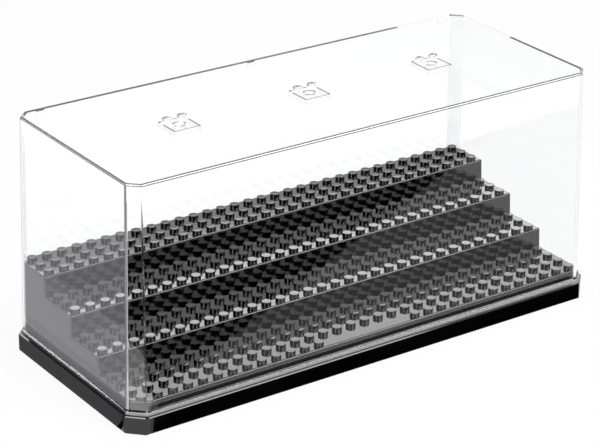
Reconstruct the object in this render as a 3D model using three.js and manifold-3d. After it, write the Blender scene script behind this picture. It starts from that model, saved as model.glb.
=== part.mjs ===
// A tiered display case for small studded figures, in millimetres, with +Z up and the front towards -Y.
// A black moulded base carries four studded tiers, and a clear drafted cover drops over them onto a ledge.

import * as THREE from 'three';
import { mergeGeometries, mergeVertices } from 'three/addons/utils/BufferGeometryUtils.js';
import Module from 'manifold-3d';

const wasm = await Module();
wasm.setup();

// Stud grid, common to all tiers and to the connectors on the cover
const pitch = 8;
const columns = 32;
const platformRows = 4;
const stepRows = 3;
const stepCount = 3;
const bareColumns = 6;
const studDiameter = 4.8;
const studHeight = 1.8;
const studSides = 7;

// Tiers: the platform, then the lower, upper and rear steps, each standing on the one before
const frontMargin = 2.95;
const backMargin = 4.25;
const endMargin = 0.5;
const platformHeight = 6.1;
const lowerRise = 10;
const upperRise = 10.7;
const rearRise = 10.4;
const riserDraft = THREE.MathUtils.degToRad(2.5);
const endDraft = THREE.MathUtils.degToRad(0.75);
const tierWall = 1.8;
const deckThickness = 1.8;
const smallestCorner = 1;

// Ribs that stiffen the hollow mouldings from below, running front to back
const ribCount = 9;
const ribThickness = 1.4;

// Keys that locate each tier on what carries it
const keyLength = 10;
const keyWidth = 1.6;
const keyHeight = 1.5;
const keyClearance = 0.3;

// Cover
const coverHeight = 110.7;
const coverWall = 1.8;
const coverClearance = 0.33;
const coverDraft = THREE.MathUtils.degToRad(1.42);
const coverCorner = 5.05;
const coverEdgeRadius = 1.5;
const edgeSteps = 4;
const beadHeight = 1.6;
const beadReach = 0.7;
const beadSlope = 1.4;

// Connectors moulded into the cover's top: a pair of studs outside, a socket for four studs inside
const connectorCount = 3;
const connectorColumns = 9;
const socketWall = 0.75;
const socketDepth = 2.3;
const tubeWall = 0.85;
const tubeSides = 10;

// Small tabs where the cover's back wall meets its top
const tabCount = 3;
const tabEndDistance = 10.55;
const tabWidth = 4.5;
const tabReach = 1.2;
const tabDrop = 2.6;

// Base
const baseHeight = 8.5;
const ledgeMargin = 1.3;
const baseWall = 2.6;
const basePlate = 2.4;
const rimBevel = 0.4;
const footBevel = 0.6;

// Overlap that keeps joined and cut solids from ending in one plane
const overrun = 0.2;

// How much a corner's leg changes for each unit that an outline is set out
const legShare = 2 - Math.SQRT2;

const black = { color: 0x0b0b0c, roughness: 0.12, metalness: 0 };
const clear = { color: 0xf4f7f8, roughness: 0.03, metalness: 0, transparent: true, opacity: 0.25 };

// Levels and faces worked out from the sizes above
const rows = platformRows + stepRows * stepCount;
const stackDepth = (rows - 1) * pitch + frontMargin + backMargin;
const gridFront = -stackDepth / 2 + frontMargin;
const platformDeck = baseHeight + platformHeight;
const lowerDeck = platformDeck + lowerRise;
const upperDeck = lowerDeck + upperRise;
const rearDeck = upperDeck + rearRise;
const coverTop = baseHeight + coverHeight;

const lowerRow = platformRows;
const upperRow = lowerRow + stepRows;
const rearRow = upperRow + stepRows;

const tiers = [
  { name: 'front_platform', foot: baseHeight, deck: platformDeck, firstRow: 0, rows: platformRows },
  { name: 'lower_step', foot: platformDeck, deck: lowerDeck, firstRow: lowerRow, rows: stepRows },
  { name: 'upper_step', foot: lowerDeck, deck: upperDeck, firstRow: upperRow, rows: stepRows },
  { name: 'rear_step', foot: upperDeck, deck: rearDeck, firstRow: rearRow, rows: stepRows },
];

// Half sizes of the tiers' end and back faces at a level, which lean outward as they go down
function tierHalfLength(level) {
  return columns * pitch / 2 + endMargin + (rearDeck - level) * Math.tan(endDraft);
}

function tierBack(level) {
  return stackDepth / 2 + (rearDeck - level) * Math.tan(endDraft);
}

function columnPlace(column) {
  return (column - (columns - 1) / 2) * pitch;
}

function rowPlace(row) {
  return gridFront + row * pitch;
}

// Plan of the cover's outer face at a level, and any plan set out or in from it
function coverPlan(level) {
  const lean = (rearDeck - level) * Math.tan(coverDraft);
  const out = coverClearance + coverWall + lean;
  const corner = coverCorner + (coverTop - level) * Math.tan(coverDraft) * legShare;
  return { length: tierHalfLength(rearDeck) + out, depth: tierBack(rearDeck) + out, corner };
}

function setOut(plan, reach) {
  return { length: plan.length + reach, depth: plan.depth + reach, corner: plan.corner + reach * legShare };
}

// Corner leg that keeps the cover's clearance all the way round a tier's corner
function tierCorner(halfLength, halfDepth, level) {
  const inner = setOut(coverPlan(level), -coverWall - coverClearance);
  const leg = halfLength + halfDepth - (inner.length + inner.depth - inner.corner);
  return Math.max(leg, smallestCorner);
}

// Points of a plan with its corners cut, anticlockwise from above
function cutRectangle(halfLength, front, back, frontCorner, backCorner) {
  const points = [];
  if (frontCorner > 0) {
    points.push([-halfLength, front + frontCorner], [-halfLength + frontCorner, front]);
    points.push([halfLength - frontCorner, front], [halfLength, front + frontCorner]);
  } else {
    points.push([-halfLength, front], [halfLength, front]);
  }
  points.push([halfLength, back - backCorner], [halfLength - backCorner, back]);
  points.push([-halfLength + backCorner, back], [-halfLength, back - backCorner]);
  return points;
}

function planPoints(plan) {
  return cutRectangle(plan.length, -plan.depth, plan.depth, plan.corner, plan.corner);
}

function rectangle(halfLength, halfDepth, x = 0, y = 0) {
  const corners = [[-1, -1], [1, -1], [1, 1], [-1, 1]];
  return corners.map(([sx, sy]) => [x + sx * halfLength, y + sy * halfDepth]);
}

// Closed solid through rings of like points, each at its own level, from the lowest up
function loft(rings) {
  const count = rings[0].points.length;
  const positions = rings.flatMap(({ points, level }) => points.flatMap(([x, y]) => [x, y, level]));
  const outline = rings[0].points.map(([x, y]) => new THREE.Vector2(x, y));
  const cap = THREE.ShapeUtils.triangulateShape(outline, []);
  const top = (rings.length - 1) * count;
  const index = [];
  for (const [a, b, c] of cap) {
    index.push(a, c, b, top + a, top + b, top + c);
  }
  for (let ring = 0; ring < top; ring += count) {
    for (let i = 0; i < count; i++) {
      const j = (i + 1) % count;
      index.push(ring + i, ring + j, ring + count + j, ring + i, ring + count + j, ring + count + i);
    }
  }
  const geometry = new THREE.BufferGeometry();
  geometry.setAttribute('position', new THREE.Float32BufferAttribute(positions, 3));
  geometry.setIndex(index);
  return geometry;
}

function block(points, bottom, top) {
  return loft([{ points, level: bottom }, { points, level: top }]);
}

function upright(radius, sides, x, y, bottom, top) {
  const geometry = new THREE.CylinderGeometry(radius, radius, top - bottom, sides);
  geometry.rotateX(Math.PI / 2);
  geometry.translate(x, y, (bottom + top) / 2);
  return geometry;
}

// One closed solid, or several that lie apart, from geometries
function solid(...geometries) {
  const bare = geometries.map((geometry) => {
    geometry.deleteAttribute('normal');
    geometry.deleteAttribute('uv');
    return geometry;
  });
  const merged = mergeVertices(mergeGeometries(bare));
  return new wasm.Manifold(new wasm.Mesh({
    numProp: 3,
    vertProperties: new Float32Array(merged.attributes.position.array),
    triVerts: new Uint32Array(merged.index.array),
  }));
}

function piece(name, body, look) {
  const { vertProperties, triVerts } = body.getMesh();
  const geometry = new THREE.BufferGeometry();
  geometry.setAttribute('position', new THREE.BufferAttribute(new Float32Array(vertProperties), 3));
  geometry.setIndex(new THREE.BufferAttribute(new Uint32Array(triVerts), 1));
  const mesh = new THREE.Mesh(geometry, new THREE.MeshStandardMaterial(look));
  mesh.name = name;
  return mesh;
}

// Ribs that cross a hollow from front to back, evenly spaced along its length
function ribs(length, depth, bottom, top) {
  const spacing = length / (ribCount + 1);
  const all = [];
  for (let i = 1; i <= ribCount; i++) {
    all.push(block(rectangle(ribThickness / 2, depth / 2, -length / 2 + i * spacing), bottom, top));
  }
  return solid(...all);
}

// A tier's plan at a level, set in by a wall where its hollow is wanted
function tierPoints(tier, level, inset = 0) {
  const halfLength = tierHalfLength(level);
  const front = rowPlace(tier.firstRow) - frontMargin - (tier.deck - level) * Math.tan(riserDraft);
  const back = tierBack(level);
  const change = inset * legShare;
  const frontCorner = tier.firstRow === 0 ? tierCorner(halfLength, -front, level) - change : 0;
  const backCorner = tierCorner(halfLength, back, level) - change;
  return cutRectangle(halfLength - inset, front + inset, back - inset, frontCorner, backCorner);
}

function isBare(row, column) {
  return row === 0 && Math.abs(column - (columns - 1) / 2) < bareColumns / 2;
}

function tierStuds(tier) {
  const all = [];
  for (let row = tier.firstRow; row < tier.firstRow + tier.rows; row++) {
    for (let column = 0; column < columns; column++) {
      if (!isBare(row, column)) {
        const bottom = tier.deck - overrun;
        const top = tier.deck + studHeight;
        all.push(upright(studDiameter / 2, studSides, columnPlace(column), rowPlace(row), bottom, top));
      }
    }
  }
  return solid(...all);
}

// Low keys that stand inside the foot of a tier, in the middle of each of its four sides
function tierKeys(tier) {
  const points = tierPoints(tier, tier.foot, tierWall + keyClearance + keyWidth / 2);
  const xs = points.map(([x]) => x);
  const ys = points.map(([, y]) => y);
  const [left, right] = [Math.min(...xs), Math.max(...xs)];
  const [front, back] = [Math.min(...ys), Math.max(...ys)];
  const middle = (front + back) / 2;
  const across = (x, y) => rectangle(keyLength / 2, keyWidth / 2, x, y);
  const along = (x, y) => rectangle(keyWidth / 2, keyLength / 2, x, y);
  const places = [across(0, front), across(0, back), along(left, middle), along(right, middle)];
  return solid(...places.map((points) => block(points, tier.foot - overrun, tier.foot + keyHeight)));
}

// A drafted shell, open below, with ribs that stop above the keys, and its studs
function makeTier(tier, above) {
  const ceiling = tier.deck - deckThickness;
  const ribFoot = tier.foot + keyHeight + keyClearance;
  const shell = solid(loft([
    { points: tierPoints(tier, tier.foot), level: tier.foot },
    { points: tierPoints(tier, tier.deck), level: tier.deck },
  ]));
  const hollow = solid(loft([
    { points: tierPoints(tier, tier.foot - overrun, tierWall), level: tier.foot - overrun },
    { points: tierPoints(tier, ceiling, tierWall), level: ceiling },
  ]));
  const crossing = ribs(2 * tierHalfLength(tier.foot), 2 * stackDepth, ribFoot, tier.deck);
  let body = shell.subtract(hollow.subtract(crossing)).add(tierStuds(tier));
  if (above) {
    body = body.add(tierKeys(above));
  }
  return piece(tier.name, body, black);
}

// The base: a bevelled skirt and a top plate whose edge is the ledge that the cover stands on
function makeBase() {
  const plan = setOut(coverPlan(baseHeight), beadReach + ledgeMargin);
  const skirt = solid(loft([
    { points: planPoints(setOut(plan, -footBevel)), level: 0 },
    { points: planPoints(plan), level: footBevel },
    { points: planPoints(plan), level: baseHeight - rimBevel },
    { points: planPoints(setOut(plan, -rimBevel)), level: baseHeight },
  ]));
  const inner = planPoints(setOut(plan, -baseWall));
  const hollow = solid(block(inner, -overrun, baseHeight - basePlate));
  const crossing = ribs(2 * plan.length, 2 * plan.depth, 0, baseHeight);
  return piece('base_tray', skirt.subtract(hollow.subtract(crossing)).add(tierKeys(tiers[0])), black);
}

// Rings of the cover's outside: the bead at its foot, the drafted wall and the rounded top edge
function coverRings() {
  const beadTop = baseHeight + beadHeight;
  const rings = [
    { points: planPoints(setOut(coverPlan(baseHeight), beadReach)), level: baseHeight },
    { points: planPoints(setOut(coverPlan(beadTop), beadReach)), level: beadTop },
    { points: planPoints(coverPlan(beadTop + beadSlope)), level: beadTop + beadSlope },
  ];
  for (let i = 0; i <= edgeSteps; i++) {
    const turn = i / edgeSteps * Math.PI / 2;
    const level = coverTop - coverEdgeRadius * (1 - Math.sin(turn));
    const reach = -coverEdgeRadius * (1 - Math.cos(turn));
    rings.push({ points: planPoints(setOut(coverPlan(level), reach)), level });
  }
  return rings;
}

// A connector's socket below the top plate, for four studs round a central tube
function socket(x, ceiling) {
  const bottom = ceiling - socketDepth;
  const top = ceiling + overrun;
  const open = (pitch + studDiameter) / 2;
  const tubeRadius = (pitch * Math.SQRT2 - studDiameter) / 2;
  const outer = solid(block(rectangle(open + socketWall, open + socketWall, x), bottom, top));
  const inner = solid(block(rectangle(open, open, x), bottom - overrun, ceiling));
  const tube = solid(upright(tubeRadius, tubeSides, x, 0, bottom, top));
  const bore = solid(upright(tubeRadius - tubeWall, tubeSides, x, 0, bottom - overrun, ceiling));
  return outer.subtract(inner).add(tube).subtract(bore);
}

function connectorStuds(x) {
  const bottom = coverTop - overrun;
  const top = coverTop + studHeight;
  const radius = studDiameter / 2;
  const places = [x - pitch / 2, x + pitch / 2];
  return solid(...places.map((place) => upright(radius, studSides, place, pitch / 2, bottom, top)));
}

function makeCover() {
  const ceiling = coverTop - coverWall;
  const foot = baseHeight - overrun;
  const back = setOut(coverPlan(ceiling - tabDrop), -coverWall).depth;
  const tabSpan = 2 * (setOut(coverPlan(ceiling), -coverWall).length - tabEndDistance);
  const hollow = solid(loft([
    { points: planPoints(setOut(coverPlan(foot), -coverWall)), level: foot },
    { points: planPoints(setOut(coverPlan(ceiling), -coverWall)), level: ceiling },
  ]));
  let body = solid(loft(coverRings())).subtract(hollow);
  for (let i = 0; i < connectorCount; i++) {
    const x = (i - (connectorCount - 1) / 2) * connectorColumns * pitch;
    body = body.add(socket(x, ceiling)).add(connectorStuds(x));
  }
  for (let i = 0; i < tabCount; i++) {
    const x = (i / (tabCount - 1) - 1 / 2) * tabSpan;
    const plan = rectangle(tabWidth / 2, (tabReach + overrun) / 2, x, back - (tabReach - overrun) / 2);
    body = body.add(solid(block(plan, ceiling - tabDrop, ceiling + overrun)));
  }
  return piece('dust_cover', body, clear);
}

const displayCase = new THREE.Group();
displayCase.add(makeBase());
tiers.forEach((tier, i) => displayCase.add(makeTier(tier, tiers[i + 1])));
displayCase.add(makeCover());

export default displayCase;
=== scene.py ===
"""Looks for a tiered display case: black glossy base and studded tiers under a clear lift-off cover."""
import math

import bmesh
import bpy
from mathutils import Matrix, Quaternion, Vector


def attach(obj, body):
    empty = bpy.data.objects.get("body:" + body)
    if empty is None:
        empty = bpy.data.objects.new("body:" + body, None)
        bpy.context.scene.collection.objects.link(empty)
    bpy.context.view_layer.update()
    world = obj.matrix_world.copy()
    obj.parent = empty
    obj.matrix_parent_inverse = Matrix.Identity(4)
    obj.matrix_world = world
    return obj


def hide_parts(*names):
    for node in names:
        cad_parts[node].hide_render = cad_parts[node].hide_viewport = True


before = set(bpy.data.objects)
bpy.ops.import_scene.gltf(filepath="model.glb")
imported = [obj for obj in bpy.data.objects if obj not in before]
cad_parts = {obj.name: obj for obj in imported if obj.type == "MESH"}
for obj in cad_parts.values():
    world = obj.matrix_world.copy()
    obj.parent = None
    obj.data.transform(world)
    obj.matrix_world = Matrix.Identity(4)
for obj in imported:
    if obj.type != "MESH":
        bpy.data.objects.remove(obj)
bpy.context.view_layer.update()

# Sizes and places of the case, the cards and the camera are in millimetres, and this makes them metres
MM = 0.001
OVERLAP = 0.2  # how far pieces run into each other before they are joined

# Stud grid
PITCH = 8.0
COLUMNS = 32
BARE_COLUMNS = 6
STUD_DIAMETER = 4.8
STUD_HEIGHT = 1.8
STUD_SIDES = 20
STUD_SINK = 0.15
STUD_EDGE = 0.22
STUD_EDGE_STEPS = 2

# Tiers, each standing on the one before it, and the levels of their decks
BASE_TOP = 8.5
DECKS = {"front_platform": 14.6, "lower_step": 24.6, "upper_step": 35.3, "rear_step": 45.7}
PLATFORM_ROWS = 4
STEP_ROWS = 3
FIRST_ROW = -48.65
FRONT_MARGIN = 3.75
END_DRAFT = math.radians(0.75)
RISER_DRAFT = math.radians(2.5)
TOP_HALF_LENGTH = 128.5
TOP_BACK = 51.6
TIER_WALL = 1.8
DECK_THICKNESS = 1.8
TIER_EDGE = 0.7
TIER_EDGE_STEPS = 3
END_ZONE = 12.0  # how far in from the middle of its end walls a tier's upright edges are rounded
FRONT_ZONE = 0.5  # and how far in from its front edge

# Ribs below the tiers, which start above the room for the keys, and below the base
KEY_HEIGHT = 1.5
KEY_CLEARANCE = 0.3
RIBS = 9
RIB_THICKNESS = 1.4

# Cover
COVER_TOP = 119.2
COVER_WALL = 1.8
COVER_DRAFT = math.radians(1.42)
COVER_CORNER = 5.05
COVER_CLEARANCE = 0.33
COVER_EDGE_RADIUS = 1.1
COVER_UPRIGHT_EDGE = 0.6
COVER_EDGE_STEPS = 4
BEAD_HEIGHT = 1.75
BEAD_REACH = 0.7
BEAD_SLOPE = 0.85
FOOT_EDGE_SHARE = 0.25  # rounding of the foot's edges, as a share of the top edge's
INNER_EDGE_SHARE = 0.08  # and of the upright edges inside
FOOT_SLACK = 0.2  # how far off the foot's outermost edges may be
FOOT_CORNER_SLACK = 0.3  # and those across its cut corners
LEG_SHARE = 2 - math.sqrt(2)

# Connectors and tabs on the cover
CONNECTORS = 3
CONNECTOR_COLUMNS = 9
SOCKET_WALL = 0.75
SOCKET_DEPTH = 2.3
TUBE_WALL = 0.85
TUBE_SIDES = 28
TABS = 3
TAB_END_DISTANCE = 10.55
TAB_WIDTH = 4.5
TAB_REACH = 1.2
TAB_DROP = 2.6

# Base
LEDGE_MARGIN = 1.3
BASE_WALL = 2.6
BASE_PLATE = 2.4
RIM_BEVEL = 0.4
FOOT_BEVEL = 0.6
UPRIGHT_EDGE = 1.0
UPRIGHT_EDGE_STEPS = 4
WALL_MIDDLE_ABOVE = 1.0  # a face with its middle below this is no wall of the base

# Camera
CAMERA_PLACE = (-603.4, -861.3, 521.4)
CAMERA_YAW = math.radians(34.797)
CAMERA_PITCH = math.radians(24.105)
CAMERA_ROLL = math.radians(0.463)
CAMERA_LENS = 143.5
CAMERA_SENSOR_WIDTH = 36.0
CAMERA_REACH_METRES = 50


def add_camera():
    forward = Vector((
        math.sin(CAMERA_YAW) * math.cos(CAMERA_PITCH),
        math.cos(CAMERA_YAW) * math.cos(CAMERA_PITCH),
        -math.sin(CAMERA_PITCH),
    ))
    level = Vector((math.cos(CAMERA_YAW), -math.sin(CAMERA_YAW), 0))
    above = level.cross(forward)
    right = level * math.cos(CAMERA_ROLL) + above * math.sin(CAMERA_ROLL)
    up = above * math.cos(CAMERA_ROLL) - level * math.sin(CAMERA_ROLL)
    bpy.ops.object.camera_add()
    camera = bpy.context.object
    camera.name = "camera"
    turn = Matrix((right, up, -forward)).transposed().to_4x4()
    camera.matrix_world = Matrix.Translation(Vector(CAMERA_PLACE) * MM) @ turn
    camera.data.lens = CAMERA_LENS
    camera.data.sensor_width = CAMERA_SENSOR_WIDTH
    camera.data.clip_end = CAMERA_REACH_METRES
    bpy.context.scene.camera = camera


add_camera()


# Picking faces and edges

NEAR = 0.05  # places this close count as the same
LEVEL_FACE = 0.9  # upward part of the normal past which a face counts as level
UPRIGHT_FACE = 0.1  # and below which it counts as upright
UPRIGHT_EDGE_SHARE = 0.9  # upward part of an edge past which it counts as upright


def middle(item):
    """Middle of an edge or face, in millimetres."""
    if isinstance(item, bmesh.types.BMFace):
        return item.calc_center_median() / MM
    return (item.verts[0].co + item.verts[1].co) / 2 / MM


def near(value, target, slack=NEAR):
    return abs(value - target) < slack


def levels_of(item):
    """The levels of an edge's or face's corners, lowest first."""
    return sorted(v.co.z / MM for v in item.verts)


def upright(edge):
    """True if an edge runs up and down, give or take a draft."""
    along = edge.verts[1].co - edge.verts[0].co
    return abs(along.z) > UPRIGHT_EDGE_SHARE * along.length


def level_at(edge, level):
    """True if both ends of an edge lie at a level."""
    return all(near(end, level) for end in levels_of(edge))


def runs_between(edge, low, high):
    """True if an edge starts at one level and ends at the other."""
    ends = levels_of(edge)
    return near(ends[0], low) and near(ends[1], high)


def touches(edge, level):
    return any(near(end, level) for end in levels_of(edge))


def faces_up(face):
    return face.normal.z > LEVEL_FACE


def faces_down(face):
    return face.normal.z < -LEVEL_FACE


def stands_upright(face):
    return abs(face.normal.z) < UPRIGHT_FACE


def outwardness(face):
    """Above zero where a face looks away from the case's middle, below zero where it looks towards it."""
    place = middle(face)
    return face.normal.x * place.x + face.normal.y * place.y


# Modelling

def select_only(piece):
    bpy.ops.object.select_all(action="DESELECT")
    piece.select_set(True)
    bpy.context.view_layer.objects.active = piece


def open_mesh(piece):
    """Puts one piece alone into edit mode, with nothing in it selected."""
    select_only(piece)
    bpy.ops.object.mode_set(mode="EDIT")
    bpy.ops.mesh.select_mode(type="FACE")
    bpy.ops.mesh.select_all(action="DESELECT")


def close_mesh():
    bpy.ops.object.mode_set(mode="OBJECT")


def choose(piece, kind, wanted):
    """Selects the faces or edges of the open mesh for which wanted() is true."""
    bpy.ops.mesh.select_mode(type=kind)
    bpy.ops.mesh.select_all(action="DESELECT")
    mesh = bmesh.from_edit_mesh(piece.data)
    items = mesh.faces if kind == "FACE" else mesh.edges
    for item in [item for item in items if wanted(item)]:
        item.select_set(True)
    mesh.select_flush_mode()
    bmesh.update_edit_mesh(piece.data)


def weigh(piece, weight, wanted):
    """Gives the chosen edges of the open mesh a bevel weight."""
    mesh = bmesh.from_edit_mesh(piece.data)
    layer = mesh.edges.layers.float.get("bevel_weight_edge")
    if layer is None:
        layer = mesh.edges.layers.float.new("bevel_weight_edge")
    for edge in mesh.edges:
        if wanted(edge):
            edge[layer] = weight
    bmesh.update_edit_mesh(piece.data)


def inset(width, depth=0.0):
    """Insets the chosen faces, and moves them out by a depth, or in by a negative one."""
    bpy.ops.mesh.inset(thickness=width * MM, depth=depth * MM, use_even_offset=True)


def extrude_up(height):
    bpy.ops.mesh.extrude_region_move(TRANSFORM_OT_translate={"value": (0, 0, height * MM)})


def bevel(width, steps=1):
    bpy.ops.mesh.bevel(offset=width * MM, segments=steps, affect="EDGES")


def settle(name):
    """Names the new primitive and puts its place into its mesh."""
    piece = bpy.context.object
    piece.name = name
    piece.data.name = name
    bpy.ops.object.transform_apply(location=True, rotation=True, scale=True)
    return piece


def add_block(name, low, high):
    """A cube stretched between two corners."""
    size = [(b - a) * MM for a, b in zip(low, high)]
    place = [(a + b) / 2 * MM for a, b in zip(low, high)]
    bpy.ops.object.select_all(action="DESELECT")
    bpy.ops.mesh.primitive_cube_add(size=1, location=place, scale=size)
    return settle(name)


def add_disc(name, x, y, bottom, top, radius, sides):
    bpy.ops.object.select_all(action="DESELECT")
    place = (x * MM, y * MM, (bottom + top) / 2 * MM)
    bpy.ops.mesh.primitive_cylinder_add(vertices=sides, radius=radius * MM, depth=(top - bottom) * MM,
                                        location=place)
    return settle(name)


def add_copy(piece, x):
    """A copy of a piece with its own mesh, moved along the case."""
    select_only(piece)
    bpy.ops.object.duplicate()
    copy = bpy.context.object
    bpy.ops.transform.translate(value=(x * MM, 0, 0))
    bpy.ops.object.transform_apply(location=True, rotation=True, scale=True)
    return copy


def remove(piece):
    bpy.data.objects.remove(piece, do_unlink=True)


def apply_all(piece):
    select_only(piece)
    for modifier in list(piece.modifiers):
        bpy.ops.object.modifier_apply(modifier=modifier.name)


def round_weighed(piece, width, steps):
    """Rounds the edges that have a bevel weight."""
    modifier = piece.modifiers.new("rounding", "BEVEL")
    modifier.limit_method = "WEIGHT"
    modifier.width = width * MM
    modifier.segments = steps
    modifier.miter_outer = "MITER_SHARP"
    modifier.use_clamp_overlap = True
    apply_all(piece)


def unite(piece, other):
    """Joins another piece to this one and removes it."""
    modifier = piece.modifiers.new("joining", "BOOLEAN")
    modifier.object = other
    modifier.operation = "UNION"
    modifier.solver = "EXACT"
    apply_all(piece)
    remove(other)


SMOOTH_ANGLE = math.radians(30)


def smooth(piece):
    select_only(piece)
    bpy.ops.object.shade_smooth_by_angle(angle=SMOOTH_ANGLE)
    modifier = piece.modifiers.new("flat faces", "WEIGHTED_NORMAL")
    modifier.keep_sharp = True
    apply_all(piece)


def dress(piece, material, body, slot, *nodes):
    """Gives a piece its material and its body, and hides the CAD nodes that it stands for. The slot is not
    used.
    """
    piece.data.materials.clear()
    piece.data.materials.append(material)
    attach(piece, body)
    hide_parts(*nodes)


# Materials

PLASTIC_INDEX = 1.5
SKIN_ROUGHNESS = 0.06
SHADOW_TINT = (0.88, 0.89, 0.9)  # what a clear wall lets through to what lies in its shadow


class Nodes:
    """The node tree of a material or world, with short calls to add and link nodes."""

    def __init__(self, owner, output="ShaderNodeOutputMaterial"):
        owner.use_nodes = True
        self.owner = owner
        self.tree = owner.node_tree
        self.tree.nodes.clear()
        self.output = self.add(output)

    def add(self, kind, **values):
        node = self.tree.nodes.new(kind)
        for key, value in values.items():
            setattr(node, key, value)
        return node

    def link(self, source, target):
        self.tree.links.new(source, target)

    def feed(self, socket, value):
        """Links an output to a socket, or sets a plain number on it."""
        if isinstance(value, bpy.types.NodeSocket):
            self.link(value, socket)
        else:
            socket.default_value = value

    def noise(self, scale, detail, roughness=0.5):
        place = self.add("ShaderNodeTexCoord")
        noise = self.add("ShaderNodeTexNoise")
        noise.inputs["Scale"].default_value = scale
        noise.inputs["Detail"].default_value = detail
        noise.inputs["Roughness"].default_value = roughness
        self.link(place.outputs["Object"], noise.inputs["Vector"])
        return noise.outputs["Fac"]

    def spread(self, source, low, high, start=0.3, end=0.7):
        """Stretches a value or pattern from start..end to low..high."""
        node = self.add("ShaderNodeMapRange")
        node.inputs["From Min"].default_value = start
        node.inputs["From Max"].default_value = end
        node.inputs["To Min"].default_value = low
        node.inputs["To Max"].default_value = high
        self.link(source, node.inputs["Value"])
        return node.outputs["Result"]

    def combine(self, operation, *values, clamp=False):
        node = self.add("ShaderNodeMath", operation=operation, use_clamp=clamp)
        for socket, value in zip(node.inputs, values):
            self.feed(socket, value)
        return node.outputs[0]

    def blend(self, source, first, second):
        """A colour between two, by a pattern."""
        node = self.add("ShaderNodeMix", data_type="RGBA")
        node.inputs["A"].default_value = (*first, 1)
        node.inputs["B"].default_value = (*second, 1)
        self.link(source, node.inputs["Factor"])
        return node.outputs["Result"]

    def bump(self, source, distance, under=None):
        """A rise of the surface by a pattern, with its distance in metres."""
        node = self.add("ShaderNodeBump")
        node.inputs["Distance"].default_value = distance
        node.inputs["Strength"].default_value = 1
        self.link(source, node.inputs["Height"])
        if under is not None:
            self.link(under, node.inputs["Normal"])
        return node.outputs["Normal"]

    def plastic(self, **values):
        """The main shader, with a value or a link for each named socket."""
        shader = self.add("ShaderNodeBsdfPrincipled")
        shader.inputs["IOR"].default_value = PLASTIC_INDEX
        for key, value in values.items():
            self.feed(shader.inputs[key.replace("_", " ")], value)
        return shader

    def glow(self, shade):
        shader = self.add("ShaderNodeEmission")
        shader.inputs["Color"].default_value = (*shade, 1)
        return shader

    def end_with(self, shader):
        self.link(shader, self.output.inputs["Surface"])

    def end_with_mix(self, share, first, second):
        mix = self.add("ShaderNodeMixShader")
        self.link(share, mix.inputs["Fac"])
        self.link(first, mix.inputs[1])
        self.link(second, mix.inputs[2])
        self.end_with(mix.outputs["Shader"])


def gloss_black(name, deep, pale, bloom, polish, skin_index):
    """Black moulding: a soft bloom in the plastic, with flow marks, under the polished skin that mirrors."""
    nodes = Nodes(bpy.data.materials.new(name))
    shader = nodes.plastic()
    cloud = nodes.spread(nodes.noise(scale=45, detail=4), low=0, high=1)
    nodes.link(nodes.blend(cloud, deep, pale), shader.inputs["Base Color"])
    haze = nodes.noise(scale=140, detail=5, roughness=0.6)
    nodes.link(nodes.spread(haze, low=0.28, high=0.32), shader.inputs["Roughness"])
    ripple = nodes.bump(nodes.noise(scale=90, detail=2), distance=0.00001)
    grain = nodes.bump(nodes.noise(scale=2600, detail=2), distance=0.0000012, under=ripple)
    nodes.link(grain, shader.inputs["Normal"])
    nodes.link(ripple, shader.inputs["Coat Normal"])
    shader.inputs["Specular IOR Level"].default_value = bloom
    shader.inputs["Coat Weight"].default_value = polish
    shader.inputs["Coat Roughness"].default_value = SKIN_ROUGHNESS
    shader.inputs["Coat IOR"].default_value = skin_index
    nodes.end_with(shader.outputs["BSDF"])
    return nodes.owner


def clear_plastic(name, tint, clearness=1, edge_on_painted_shade=None):
    """Clear polished moulding with a trace of haze, through which lamps reach what is inside.

    Where it is seen edge on, a darker tint paints shade in, in place of the dark that the rounded plastic
    bends and mirrors there.
    """
    nodes = Nodes(bpy.data.materials.new(name))
    shader = nodes.plastic(Base_Color=(*tint, 1), Transmission_Weight=clearness)
    # painted shade: a darker tint where the surface is seen edge on
    if edge_on_painted_shade:
        facing = nodes.add("ShaderNodeLayerWeight")
        facing.inputs["Blend"].default_value = 0.5
        edge_on = nodes.spread(facing.outputs["Facing"], low=0, high=1, start=0.35, end=0.6)
        nodes.link(nodes.blend(edge_on, tint, edge_on_painted_shade), shader.inputs["Base Color"])
    haze = nodes.noise(scale=60, detail=4)
    nodes.link(nodes.spread(haze, low=0.0, high=0.012), shader.inputs["Roughness"])
    nodes.link(nodes.bump(nodes.noise(scale=25, detail=2), distance=0.000004), shader.inputs["Normal"])
    passing = nodes.add("ShaderNodeBsdfTransparent")
    passing.inputs["Color"].default_value = (*SHADOW_TINT, 1)
    path = nodes.add("ShaderNodeLightPath")
    nodes.end_with_mix(path.outputs["Is Shadow Ray"], shader.outputs["BSDF"], passing.outputs["BSDF"])
    return nodes.owner


def make_painted_bead_highlight():
    """The cover's foot bead: a white satin finish, given to its front faces only, paints the bright band of
    light along the foot.
    """
    nodes = Nodes(bpy.data.materials.new("foot_bead_painted_highlight"))
    shader = nodes.plastic(Base_Color=(0.93, 0.94, 0.95, 1), Transmission_Weight=0.72)
    satin = nodes.noise(scale=300, detail=4)
    nodes.link(nodes.spread(satin, low=0.3, high=0.42), shader.inputs["Roughness"])
    nodes.link(nodes.bump(nodes.noise(scale=1800, detail=2), distance=0.000003), shader.inputs["Normal"])
    nodes.end_with(shader.outputs["BSDF"])
    return nodes.owner


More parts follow.
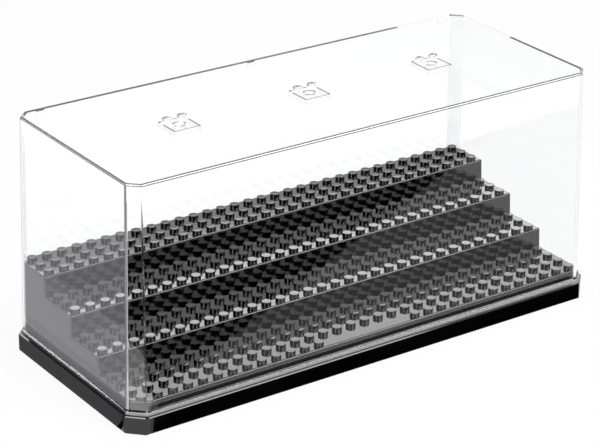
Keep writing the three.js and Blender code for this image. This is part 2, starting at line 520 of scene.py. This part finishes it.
base_black = gloss_black("gloss_black_base", deep=(0.0004, 0.0004, 0.0005), pale=(0.001, 0.001, 0.0012),
                         bloom=0.08, polish=0.8, skin_index=1.5)
tier_black = gloss_black("gloss_black_tiers", deep=(0.0003, 0.0003, 0.0004), pale=(0.0008, 0.0008, 0.001),
                         bloom=0.04, polish=0.8, skin_index=1.8)
cover_clear = clear_plastic("clear_cover_plastic", tint=(0.995, 0.998, 1.0))
# painted shade: a grey core and dark lines tinted into the cover's rounded edges, for the dark that the clear
# plastic bends and mirrors there
edge_core_painted_shade = clear_plastic("clear_edge_core_painted_shade", tint=(0.24, 0.245, 0.26), clearness=0.7)
edge_line_painted_shade = clear_plastic("clear_edge_line_painted_shade", tint=(0.05, 0.05, 0.055), clearness=0.4)
# painted shade: the rear corners turn nearly black where they are seen edge on
rear_corner_painted_shade = clear_plastic("clear_rear_corner_painted_shade", tint=(0.9, 0.905, 0.91), clearness=0.7,
                                edge_on_painted_shade=(0.02, 0.02, 0.022))
# painted highlight: white satin on the front of the foot bead
painted_bead_highlight = make_painted_bead_highlight()


# Base and tiers

def cover_half(level, reach=0.0):
    """Half length, half depth and corner leg of the cover's outside at a level, set out by a reach."""
    lean = (DECKS["rear_step"] - level) * math.tan(COVER_DRAFT)
    out = COVER_CLEARANCE + COVER_WALL + lean + reach
    corner = COVER_CORNER + ((COVER_TOP - level) * math.tan(COVER_DRAFT) + reach) * LEG_SHARE
    return TOP_HALF_LENGTH + out, TOP_BACK + out, corner


def cut_corners(piece, leg, wanted):
    """Cuts the chosen upright corners of the open mesh off square to their bisector."""
    choose(piece, "EDGE", wanted)
    bevel(leg)


def hollow_out(piece, foot, wall, clear_height, ceiling, half_length, front, back):
    """Hollows the open mesh from below and leaves ribs across it that start above its foot."""
    choose(piece, "FACE", lambda f: near(middle(f).z, foot) and faces_down(f))
    inset(wall)
    rib_foot = foot + clear_height
    if clear_height > 0:
        extrude_up(clear_height)
    spacing = 2 * half_length / (RIBS + 1)
    ribs = [-half_length + i * spacing for i in range(1, RIBS + 1)]

    def bottom(f):
        """True for what is left of the level that the ribs start at, inside the walls."""
        if not near(middle(f).z, rib_foot) or not faces_down(f):
            return False
        across = max(abs(v.co.x / MM) for v in f.verts) < half_length - wall / 2
        return across and all(front + wall / 2 < v.co.y / MM < back - wall / 2 for v in f.verts)

    for rib in ribs:
        for side in (-1, 1):
            choose(piece, "FACE", bottom)
            cut = (rib + side * RIB_THICKNESS / 2) * MM
            bpy.ops.mesh.bisect(plane_co=(cut, 0, 0), plane_no=(1, 0, 0))
    choose(piece, "FACE",
           lambda f: bottom(f) and min(abs(middle(f).x - rib) for rib in ribs) > RIB_THICKNESS)
    extrude_up(ceiling - rib_foot)


def add_stud(name, x, y, bottom, top, sides):
    """One stud with its top edge rounded off."""
    stud = add_disc(name, x, y, bottom, top, STUD_DIAMETER / 2, sides)
    open_mesh(stud)
    choose(stud, "EDGE", lambda e: level_at(e, top))
    bevel(STUD_EDGE, STUD_EDGE_STEPS)
    close_mesh()
    return stud


def add_studs(name, deck, first_row, rows, bare):
    """The studs of a tier: one modelled stud repeated along the columns and rows."""
    left = -(COLUMNS - 1) / 2 * PITCH
    front = FIRST_ROW + first_row * PITCH
    stud = add_stud(name, left, front, deck - STUD_SINK, deck + STUD_HEIGHT, STUD_SIDES)
    for axis, count in ((0, COLUMNS), (1, rows)):
        array = stud.modifiers.new("rows", "ARRAY")
        array.count = count
        array.use_relative_offset = False
        array.use_constant_offset = True
        array.constant_offset_displace = [PITCH * MM if axis == i else 0 for i in range(3)]
        array.use_merge_vertices = False
    apply_all(stud)
    if bare:
        open_mesh(stud)
        reach = BARE_COLUMNS / 2 * PITCH
        choose(stud, "FACE", lambda f: abs(middle(f).x) < reach and middle(f).y < front + PITCH / 2)
        bpy.ops.mesh.delete(type="FACE")
        close_mesh()
    return stud


def build_tier(name, foot, first_row, rows):
    """A tier with leaning sides, cut corners, ribs below and studs on its deck."""
    deck = DECKS[name]
    top_lean = (DECKS["rear_step"] - deck) * math.tan(END_DRAFT)
    foot_lean = (DECKS["rear_step"] - foot) * math.tan(END_DRAFT)
    half_top = TOP_HALF_LENGTH + top_lean
    half_foot = TOP_HALF_LENGTH + foot_lean
    back_top = TOP_BACK + top_lean
    back_foot = TOP_BACK + foot_lean
    front_top = FIRST_ROW + first_row * PITCH - FRONT_MARGIN
    front_foot = front_top - (deck - foot) * math.tan(RISER_DRAFT)

    def skin_upright(e):
        """True for the upright edges of the ends and the front, which run from the foot to the deck."""
        place = middle(e)
        outside = abs(place.x) > half_foot - TIER_WALL / 2 - END_ZONE or place.y < front_top + FRONT_ZONE
        return upright(e) and outside and touches(e, foot) and touches(e, deck)

    tier = add_block(name + "_moulding", (-half_foot, front_foot, foot), (half_foot, back_foot, deck))
    open_mesh(tier)
    choose(tier, "FACE", faces_up)
    depth_share = (back_top - front_top) / (back_foot - front_foot)
    bpy.ops.transform.resize(value=(half_top / half_foot, depth_share, 1),
                             center_override=(0, 0, deck * MM))
    mesh = bmesh.from_edit_mesh(tier.data)
    reached = max(v.co.y for v in mesh.verts if near(v.co.z / MM, deck))
    bpy.ops.transform.translate(value=(0, back_top * MM - reached, 0))
    half, depth, corner = cover_half(foot, -COVER_WALL - COVER_CLEARANCE)
    back_leg = half_foot + back_foot - (half + depth - corner)
    cut_corners(tier, back_leg, lambda e: upright(e) and middle(e).y > (front_top + back_top) / 2)
    if first_row == 0:
        front_leg = half_foot - front_foot - (half + depth - corner)
        cut_corners(tier, front_leg, lambda e: upright(e) and middle(e).y < 0)
    hollow_out(tier, foot, TIER_WALL, KEY_HEIGHT + KEY_CLEARANCE, deck - DECK_THICKNESS, half_foot,
               front_foot, back_foot)
    weigh(tier, 1.0, lambda e: level_at(e, deck))
    weigh(tier, 1.0, skin_upright)
    close_mesh()
    round_weighed(tier, TIER_EDGE, TIER_EDGE_STEPS)
    unite(tier, add_studs(name + "_studs", deck, first_row, rows, bare=first_row == 0))
    smooth(tier)
    dress(tier, tier_black, "case_body", "tiers", name)


def build_base():
    """The base, hollow and ribbed below, with a chamfered rim."""
    half, depth, corner = cover_half(BASE_TOP, BEAD_REACH + LEDGE_MARGIN)

    def outer_wall(f):
        return stands_upright(f) and middle(f).z > WALL_MIDDLE_ABOVE and outwardness(f) > 0

    def inner_loop(e):
        place = middle(e)
        return abs(place.x) < half - BASE_WALL / 2 and abs(place.y) < depth - BASE_WALL / 2

    def foot_edge(e):
        return level_at(e, 0) and any(outer_wall(f) for f in e.link_faces) and not inner_loop(e)

    base = add_block("base_moulding", (-half, -depth, 0), (half, depth, BASE_TOP))
    open_mesh(base)
    cut_corners(base, corner, upright)
    hollow_out(base, 0, BASE_WALL, 0, BASE_TOP - BASE_PLATE, half, -depth, depth)
    weigh(base, 1.0, lambda e: upright(e) and runs_between(e, 0, BASE_TOP))
    weigh(base, FOOT_BEVEL / UPRIGHT_EDGE, foot_edge)
    close_mesh()
    round_weighed(base, UPRIGHT_EDGE, UPRIGHT_EDGE_STEPS)
    open_mesh(base)
    choose(base, "EDGE", lambda e: level_at(e, BASE_TOP) and any(stands_upright(f) for f in e.link_faces))
    bevel(RIM_BEVEL)
    close_mesh()
    smooth(base)
    dress(base, base_black, "case_body", "base", "base_tray")


# Cover

COVER_CEILING = COVER_TOP - COVER_WALL
BEAD_TOP = BASE_TOP + BEAD_HEIGHT
SLOPE_TOP = BEAD_TOP + BEAD_SLOPE


def shape_cover():
    """The cover's drafted shell: bead and slope below, cut corners, rounded edges."""
    half, depth, corner = cover_half(BASE_TOP, BEAD_REACH)
    lean = math.tan(COVER_DRAFT)
    cover = add_block("clear_cover", (-half, -depth, BASE_TOP), (half, depth, BEAD_TOP))
    open_mesh(cover)
    cut_corners(cover, corner, upright)
    choose(cover, "FACE", faces_up)
    inset(BEAD_REACH + (BEAD_HEIGHT + BEAD_SLOPE) * lean, BEAD_SLOPE)
    wall = COVER_TOP - SLOPE_TOP
    inset(wall * lean, wall)
    choose(cover, "FACE", faces_down)
    inset(BEAD_REACH + COVER_WALL)
    rise = COVER_CEILING - BASE_TOP
    inset(rise * lean, -rise)

    def outermost(e):
        place = middle(e)
        x, y = abs(place.x), abs(place.y)
        across = near(x + y, half + depth - corner, FOOT_CORNER_SLACK)
        return near(x, half, FOOT_SLACK) or near(y, depth, FOOT_SLACK) or across

    weigh(cover, 1.0, lambda e: level_at(e, COVER_TOP))
    for low, high in ((SLOPE_TOP, COVER_TOP), (BEAD_TOP, SLOPE_TOP), (BASE_TOP, BEAD_TOP)):
        weigh(cover, COVER_UPRIGHT_EDGE / COVER_EDGE_RADIUS, lambda e: runs_between(e, low, high))
    weigh(cover, FOOT_EDGE_SHARE, lambda e: level_at(e, BEAD_TOP))
    weigh(cover, INNER_EDGE_SHARE, lambda e: runs_between(e, BASE_TOP, COVER_CEILING))
    weigh(cover, FOOT_EDGE_SHARE, lambda e: level_at(e, BASE_TOP) and outermost(e))
    close_mesh()
    round_weighed(cover, COVER_EDGE_RADIUS, COVER_EDGE_STEPS)
    return cover


def hollow_from_below(piece, wall, depth):
    open_mesh(piece)
    choose(piece, "FACE", faces_down)
    inset(wall)
    extrude_up(depth)
    close_mesh()


def add_socket():
    """A square socket below the top plate with a tube in its middle."""
    outer = (PITCH + STUD_DIAMETER) / 2 + SOCKET_WALL
    bottom = COVER_CEILING - SOCKET_DEPTH
    top = COVER_CEILING + OVERLAP
    socket = add_block("socket", (-outer, -outer, bottom), (outer, outer, top))
    hollow_from_below(socket, SOCKET_WALL, SOCKET_DEPTH)
    radius = (PITCH * math.sqrt(2) - STUD_DIAMETER) / 2
    tube = add_disc("tube", 0, 0, bottom, top, radius, TUBE_SIDES)
    hollow_from_below(tube, TUBE_WALL, SOCKET_DEPTH)
    unite(socket, tube)
    return socket


def add_connectors(cover):
    """The connectors: one socket and one stud, copied to each place."""
    socket = add_socket()
    stud = add_stud("connector_stud", 0, PITCH / 2, COVER_TOP - OVERLAP, COVER_TOP + STUD_HEIGHT, TUBE_SIDES)
    for i in range(CONNECTORS):
        x = (i - (CONNECTORS - 1) / 2) * CONNECTOR_COLUMNS * PITCH
        unite(cover, add_copy(socket, x))
        for side in (-1, 1):
            unite(cover, add_copy(stud, x + side * PITCH / 2))
    remove(socket)
    remove(stud)


def add_tabs(cover):
    """The tabs inside where the back wall meets the top: one tab, copied to each place."""
    inner_half, inner_depth, _ = cover_half(COVER_CEILING, -COVER_WALL)
    tab = add_block("tab", (-TAB_WIDTH / 2, inner_depth - TAB_REACH, COVER_CEILING - TAB_DROP),
                    (TAB_WIDTH / 2, inner_depth + OVERLAP, COVER_CEILING + OVERLAP))
    for i in range(TABS):
        unite(cover, add_copy(tab, (i / (TABS - 1) - 0.5) * 2 * (inner_half - TAB_END_DISTANCE)))
    remove(tab)


BEAD_FRONTWARD = 0.3  # forward part of the normal past which a face of the bead gets the painted highlight of white satin
BEAD_MARGIN_BELOW = 0.1
BEAD_MARGIN_ABOVE = 0.15


def in_bead(f):
    """True for the upright faces of the cover's foot bead that face the front, which get the painted
    highlight.
    """
    levels = levels_of(f)
    within = levels[0] > BASE_TOP + BEAD_MARGIN_BELOW and levels[-1] < BEAD_TOP + BEAD_MARGIN_ABOVE
    return within and f.normal.y < -BEAD_FRONTWARD


ROUNDING_REACH = COVER_EDGE_RADIUS + 0.1
CORNER_REACH_SHARE = 1.5  # of that, what the rounding reaches across a cut corner
TOP_SLACK = 0.01
ROUNDING_FROM = 0.06  # upward part of the normal where the top edge's rounding starts
LINE_UP_TO = 0.45  # where its painted dark line gives way to its core, which is painted grey
ROUNDING_UP_TO = 0.995  # and where the top plate starts
DIAGONAL = 0.05  # difference of the normal's parts below which a face counts as a cut corner
CORNER_TURN = 45  # degrees from a wall to a cut corner
ROUNDING_TURNS = (3, 42)  # of those, what the rounding takes
CORE_TURNS = (11, 34)  # and of that, its core


def in_rounding(f):
    """Tells the core of the cover's rounded edges from the lines beside it, and both from the rear corners,
    which all get painted shade: a grey core, dark lines and a darker tint seen edge on.

    Parts of the foot's underside, which rests on the ledge, count as rear too.
    """
    place = middle(f)
    levels = levels_of(f)
    half, depth, corner = cover_half(place.z)
    x, y = abs(place.x), abs(place.y)
    by_corner = x + y > half + depth - corner - CORNER_REACH_SHARE * ROUNDING_REACH
    beside = x > half - ROUNDING_REACH or y > depth - ROUNDING_REACH or by_corner
    if not beside or levels[-1] > COVER_TOP + TOP_SLACK or outwardness(f) < 0:
        return None
    if levels[0] > COVER_TOP - ROUNDING_REACH:
        if f.normal.z < ROUNDING_FROM or f.normal.z > ROUNDING_UP_TO:
            return None
        return "line" if f.normal.z < LINE_UP_TO else "core"
    if place.y > 0 and abs(abs(f.normal.x) - abs(f.normal.y)) < DIAGONAL:
        return "rear"
    turn = math.degrees(math.atan2(f.normal.y, f.normal.x)) % CORNER_TURN
    rounded = ROUNDING_TURNS[0] < turn < ROUNDING_TURNS[1]
    if abs(f.normal.z) > UPRIGHT_FACE or not rounded or abs(f.normal.x) < abs(f.normal.y):
        return None
    if place.y > 0:
        return "rear"
    return "core" if CORE_TURNS[0] < turn < CORE_TURNS[1] else "line"


def give_finish(piece, slot, material, wanted):
    """Gives some faces of a piece a finish of their own."""
    piece.data.materials.append(material)
    open_mesh(piece)
    choose(piece, "FACE", wanted)
    piece.active_material_index = slot
    bpy.ops.object.material_slot_assign()
    close_mesh()


def build_cover():
    cover = shape_cover()
    add_connectors(cover)
    add_tabs(cover)
    smooth(cover)
    dress(cover, cover_clear, "cover", "cover", "dust_cover")
    # painted highlight: white satin on the front faces of the foot bead
    give_finish(cover, 1, painted_bead_highlight, in_bead)
    # painted shade: a grey core and dark lines beside it on the rounded edges
    give_finish(cover, 2, edge_core_painted_shade, lambda f: in_rounding(f) == "core")
    give_finish(cover, 3, edge_line_painted_shade, lambda f: in_rounding(f) == "line")
    # painted shade: a darker tint where the rear corners are seen edge on
    give_finish(cover, 4, rear_corner_painted_shade, lambda f: in_rounding(f) == "rear")
    cover.visible_glossy = False  # the black parts mirror the studio clearly, not through the cover


build_base()
build_tier("front_platform", BASE_TOP, 0, PLATFORM_ROWS)
build_tier("lower_step", DECKS["front_platform"], PLATFORM_ROWS, STEP_ROWS)
build_tier("upper_step", DECKS["lower_step"], PLATFORM_ROWS + STEP_ROWS, STEP_ROWS)
build_tier("rear_step", DECKS["upper_step"], PLATFORM_ROWS + 2 * STEP_ROWS, STEP_ROWS)
build_cover()


# Floor

FLOOR_METRES = 30.0
PAPER_SHARE = 0.9
WALL_LOSS = 0.19
PAPER_GREYS = ((0.78, 0.78, 0.78), (0.82, 0.82, 0.82))


def pale_floor():
    """Pale paper that keeps a soft part of the shadow: most of its white shows at a set level.

    Through the cover it shows as white as beside it, although two clear walls take a part away.
    """
    nodes = Nodes(bpy.data.materials.new("pale_paper"))
    paper = nodes.add("ShaderNodeBsdfDiffuse")
    grain = nodes.spread(nodes.noise(scale=180, detail=3), low=0, high=1)
    nodes.link(nodes.blend(grain, *PAPER_GREYS), paper.inputs["Color"])
    path = nodes.add("ShaderNodeLightPath")
    through = path.outputs["Is Transmission Ray"]
    white = nodes.add("ShaderNodeEmission")
    nodes.link(nodes.combine("MULTIPLY_ADD", through, WALL_LOSS, 1), white.inputs["Strength"])
    seen = nodes.combine("MAXIMUM", path.outputs["Is Camera Ray"], through)
    mirrored = nodes.combine("MAXIMUM", seen, path.outputs["Is Glossy Ray"])
    share = nodes.combine("MULTIPLY", mirrored, PAPER_SHARE)
    nodes.end_with_mix(share, paper.outputs["BSDF"], white.outputs["Emission"])
    return nodes.owner


def add_floor():
    bpy.ops.object.select_all(action="DESELECT")
    bpy.ops.mesh.primitive_plane_add(size=FLOOR_METRES)
    floor = bpy.context.object
    floor.name = "floor"
    floor.data.materials.append(pale_floor())


add_floor()


# Cards: what the cover's walls and the black parts mirror beside the case

BLACK = (0.0, 0.0, 0.0)
WALL_FACES = {"outer": 0, "inner": 1, "both": 0.5}  # faces passed on the way, or halfway between the two
WALL_FACE_SLACK = {"outer": 0.1, "inner": 0.1, "both": 0.6}
LEFT_CARDS_FRONT = -44.8
LEFT_CARDS_BACK = 300

DARK_OUTER_OUTLINE = [(-99.9, -85), (-212, -99), (-1600, -300), (-1600, -900), (600, -1600), (1194.9, -772.8)]
DARK_INNER_OUTLINE = [(-99.4, -106.2), (-249, -138), (-1700, -350), (-1700, -900), (300, -2000),
                      (1086.5, -1289.6)]
GREY_OUTLINE = [(-109, -78.2), (-102, -107), (1086.5, -1291), (1300, -57), (142.2, -57), (142.2, -78.2)]
NEAR_OUTLINE = [(-125, -54), (-109, -78), (142, -78), (142, -54)]
CORNER_OUTLINE = [(-134.5, -45), (-126, -57.3), (-104, -84), (-251, -139), (-400, -45)]
EDGE_OUTLINE = [(-132, -47), (-144, -52), (-147, -44), (-143, -35), (-132.5, -43.5)]


def left_outline(near_end, far_end):
    """A strip of the floor left of the case."""
    front, back = LEFT_CARDS_FRONT, LEFT_CARDS_BACK
    return [(near_end, front), (near_end, back), (far_end, back), (far_end, front)]


def plain_card(name, shade, wall_face):
    """A card of one shade that shows only where something mirrors it, and is clear to a straight look.

    A wall of the cover mirrors twice, with its outer and its inner face, and a card may be for one of them or
    for both. The black parts behind a wall, which are seen through both its faces, don't mirror such a card.
    """
    nodes = Nodes(bpy.data.materials.new(name))
    clear = nodes.add("ShaderNodeBsdfTransparent")
    path = nodes.add("ShaderNodeLightPath")
    mirrored = path.outputs["Glossy Depth"]
    if wall_face:
        through = nodes.combine("COMPARE", path.outputs["Transmission Depth"], WALL_FACES[wall_face],
                                WALL_FACE_SLACK[wall_face])
        mirrored = nodes.combine("MULTIPLY", mirrored, through, clamp=True)
    nodes.end_with_mix(mirrored, clear.outputs["BSDF"], nodes.glow(shade).outputs["Emission"])
    return nodes.owner


def add_card(name, outline, level, shade, wall_face=None):
    """A studio card that lies just above the floor beside the case and shows in its gloss only."""
    mesh = bpy.data.meshes.new(name)
    mesh.from_pydata([(x * MM, y * MM, level * MM) for x, y in outline], [], [tuple(range(len(outline)))])
    card = bpy.data.objects.new(name, mesh)
    bpy.context.scene.collection.objects.link(card)
    mesh.materials.append(plain_card(name, shade, wall_face))
    card.visible_camera = False
    card.visible_diffuse = False
    card.visible_shadow = False


add_card("dark_card_outer_face", DARK_OUTER_OUTLINE, level=0.4, shade=BLACK, wall_face="outer")
add_card("dark_card_inner_face", DARK_INNER_OUTLINE, level=0.5, shade=BLACK, wall_face="inner")
add_card("grey_card", GREY_OUTLINE, level=0.2, shade=(0.285, 0.285, 0.29), wall_face="both")
add_card("near_card", NEAR_OUTLINE, level=0.05, shade=BLACK)
add_card("corner_card", CORNER_OUTLINE, level=0.3, shade=(1.4, 1.4, 1.42))
add_card("left_card", left_outline(-130, -148), level=0.1, shade=(0.33, 0.33, 0.36))
add_card("mid_left_card", left_outline(-148.2, -185), level=0.6, shade=(0.85, 0.85, 0.91))
add_card("far_left_card", left_outline(-185.2, -600), level=0.6, shade=(0.55, 0.55, 0.59))
add_card("edge_card", EDGE_OUTLINE, level=0.3, shade=BLACK)


# Lamps

LAMP_POWER = 4


def add_softbox(name, azimuth, low, high, spread, distance, radiance, roll=0):
    """A softbox that faces the case and covers elevations from low to high, and spread across.

    Angles are in degrees, azimuth from the front towards the right, and the distance is in metres.
    """
    around = math.radians(azimuth)
    up = math.radians((low + high) / 2)
    towards = Vector((math.sin(around) * math.cos(up), -math.cos(around) * math.cos(up), math.sin(up)))
    place = towards * distance
    width = 2 * distance * math.tan(math.radians(spread / 2))
    height = 2 * distance * math.tan(math.radians((high - low) / 2))
    bpy.ops.object.light_add(type="AREA", location=place)
    lamp = bpy.context.object
    lamp.name = name
    lamp.data.shape = "RECTANGLE"
    lamp.data.size = width
    lamp.data.size_y = height
    lamp.data.energy = LAMP_POWER * width * height * radiance
    facing = (-place).to_track_quat("-Z", "Y")
    lamp.rotation_euler = (facing @ Quaternion((0, 0, 1), math.radians(roll))).to_euler()
    lamp.visible_camera = False


add_softbox("rear_softbox", azimuth=145.5, low=24.4, high=26.5, spread=40, distance=4, radiance=2.7, roll=15)
add_softbox("rear_upper_softbox", azimuth=145.5, low=26.5, high=31.5, spread=40, distance=4, radiance=1.35,
            roll=15)
add_softbox("right_low_softbox", azimuth=31, low=17, high=24.5, spread=30, distance=3, radiance=2)
add_softbox("right_softbox", azimuth=33, low=24.5, high=38, spread=26, distance=3, radiance=8)
add_softbox("right_strip", azimuth=6, low=18, high=32, spread=14, distance=3, radiance=12)
add_softbox("left_strip", azimuth=-67, low=18, high=32, spread=14, distance=3, radiance=12)
add_softbox("front_rim_softbox", azimuth=50, low=44, high=52, spread=16, distance=3, radiance=9)
add_softbox("corner_rim_softbox", azimuth=-70, low=52, high=60, spread=16, distance=3, radiance=10)
add_softbox("left_foot_softbox", azimuth=-146, low=18, high=22, spread=10, distance=3, radiance=6)


# Room

BACKDROP_TILT = -0.25
BACKDROP_SIDES = (0.1, 0.5)  # how squarely a direction meets the backdrop where it starts and is full
BACKDROP_TOP = (34, 30)  # elevations in degrees where it has ended and is still full
CEILING_EDGE = (60, 72)  # and where the ceiling starts and is full


def rise_of(degrees):
    """How far up a direction at an elevation points."""
    return math.sin(math.radians(degrees))


def add_world(backdrop, room, ceiling):
    """White backdrop behind the case, as far up as it would hang, in a dim room with a pale ceiling."""
    world = bpy.data.worlds.new("studio")
    nodes = Nodes(world, "ShaderNodeOutputWorld")
    background = nodes.add("ShaderNodeBackground")
    background.inputs["Color"].default_value = (1, 1, 1, 1)
    place = nodes.add("ShaderNodeTexCoord")
    facing = nodes.add("ShaderNodeVectorMath", operation="DOT_PRODUCT")
    facing.inputs[1].default_value = (math.sin(CAMERA_YAW), math.cos(CAMERA_YAW), BACKDROP_TILT)
    nodes.link(place.outputs["Generated"], facing.inputs[0])
    parts = nodes.add("ShaderNodeSeparateXYZ")
    nodes.link(place.outputs["Generated"], parts.inputs[0])
    height = parts.outputs["Z"]
    hung = nodes.spread(height, low=0, high=1, start=rise_of(BACKDROP_TOP[0]), end=rise_of(BACKDROP_TOP[1]))
    behind = nodes.spread(facing.outputs["Value"], low=0, high=1, start=BACKDROP_SIDES[0],
                          end=BACKDROP_SIDES[1])
    paper = nodes.combine("MULTIPLY", hung, behind)
    around = nodes.spread(paper, low=room, high=backdrop, start=0, end=1)
    overhead = nodes.spread(height, low=0, high=ceiling, start=rise_of(CEILING_EDGE[0]),
                            end=rise_of(CEILING_EDGE[1]))
    nodes.link(nodes.combine("ADD", around, overhead), background.inputs["Strength"])
    nodes.end_with(background.outputs["Background"])
    bpy.context.scene.world = world


add_world(backdrop=1.0, room=0.3, ceiling=0.9)

bpy.context.scene.view_settings.view_transform = "Standard"
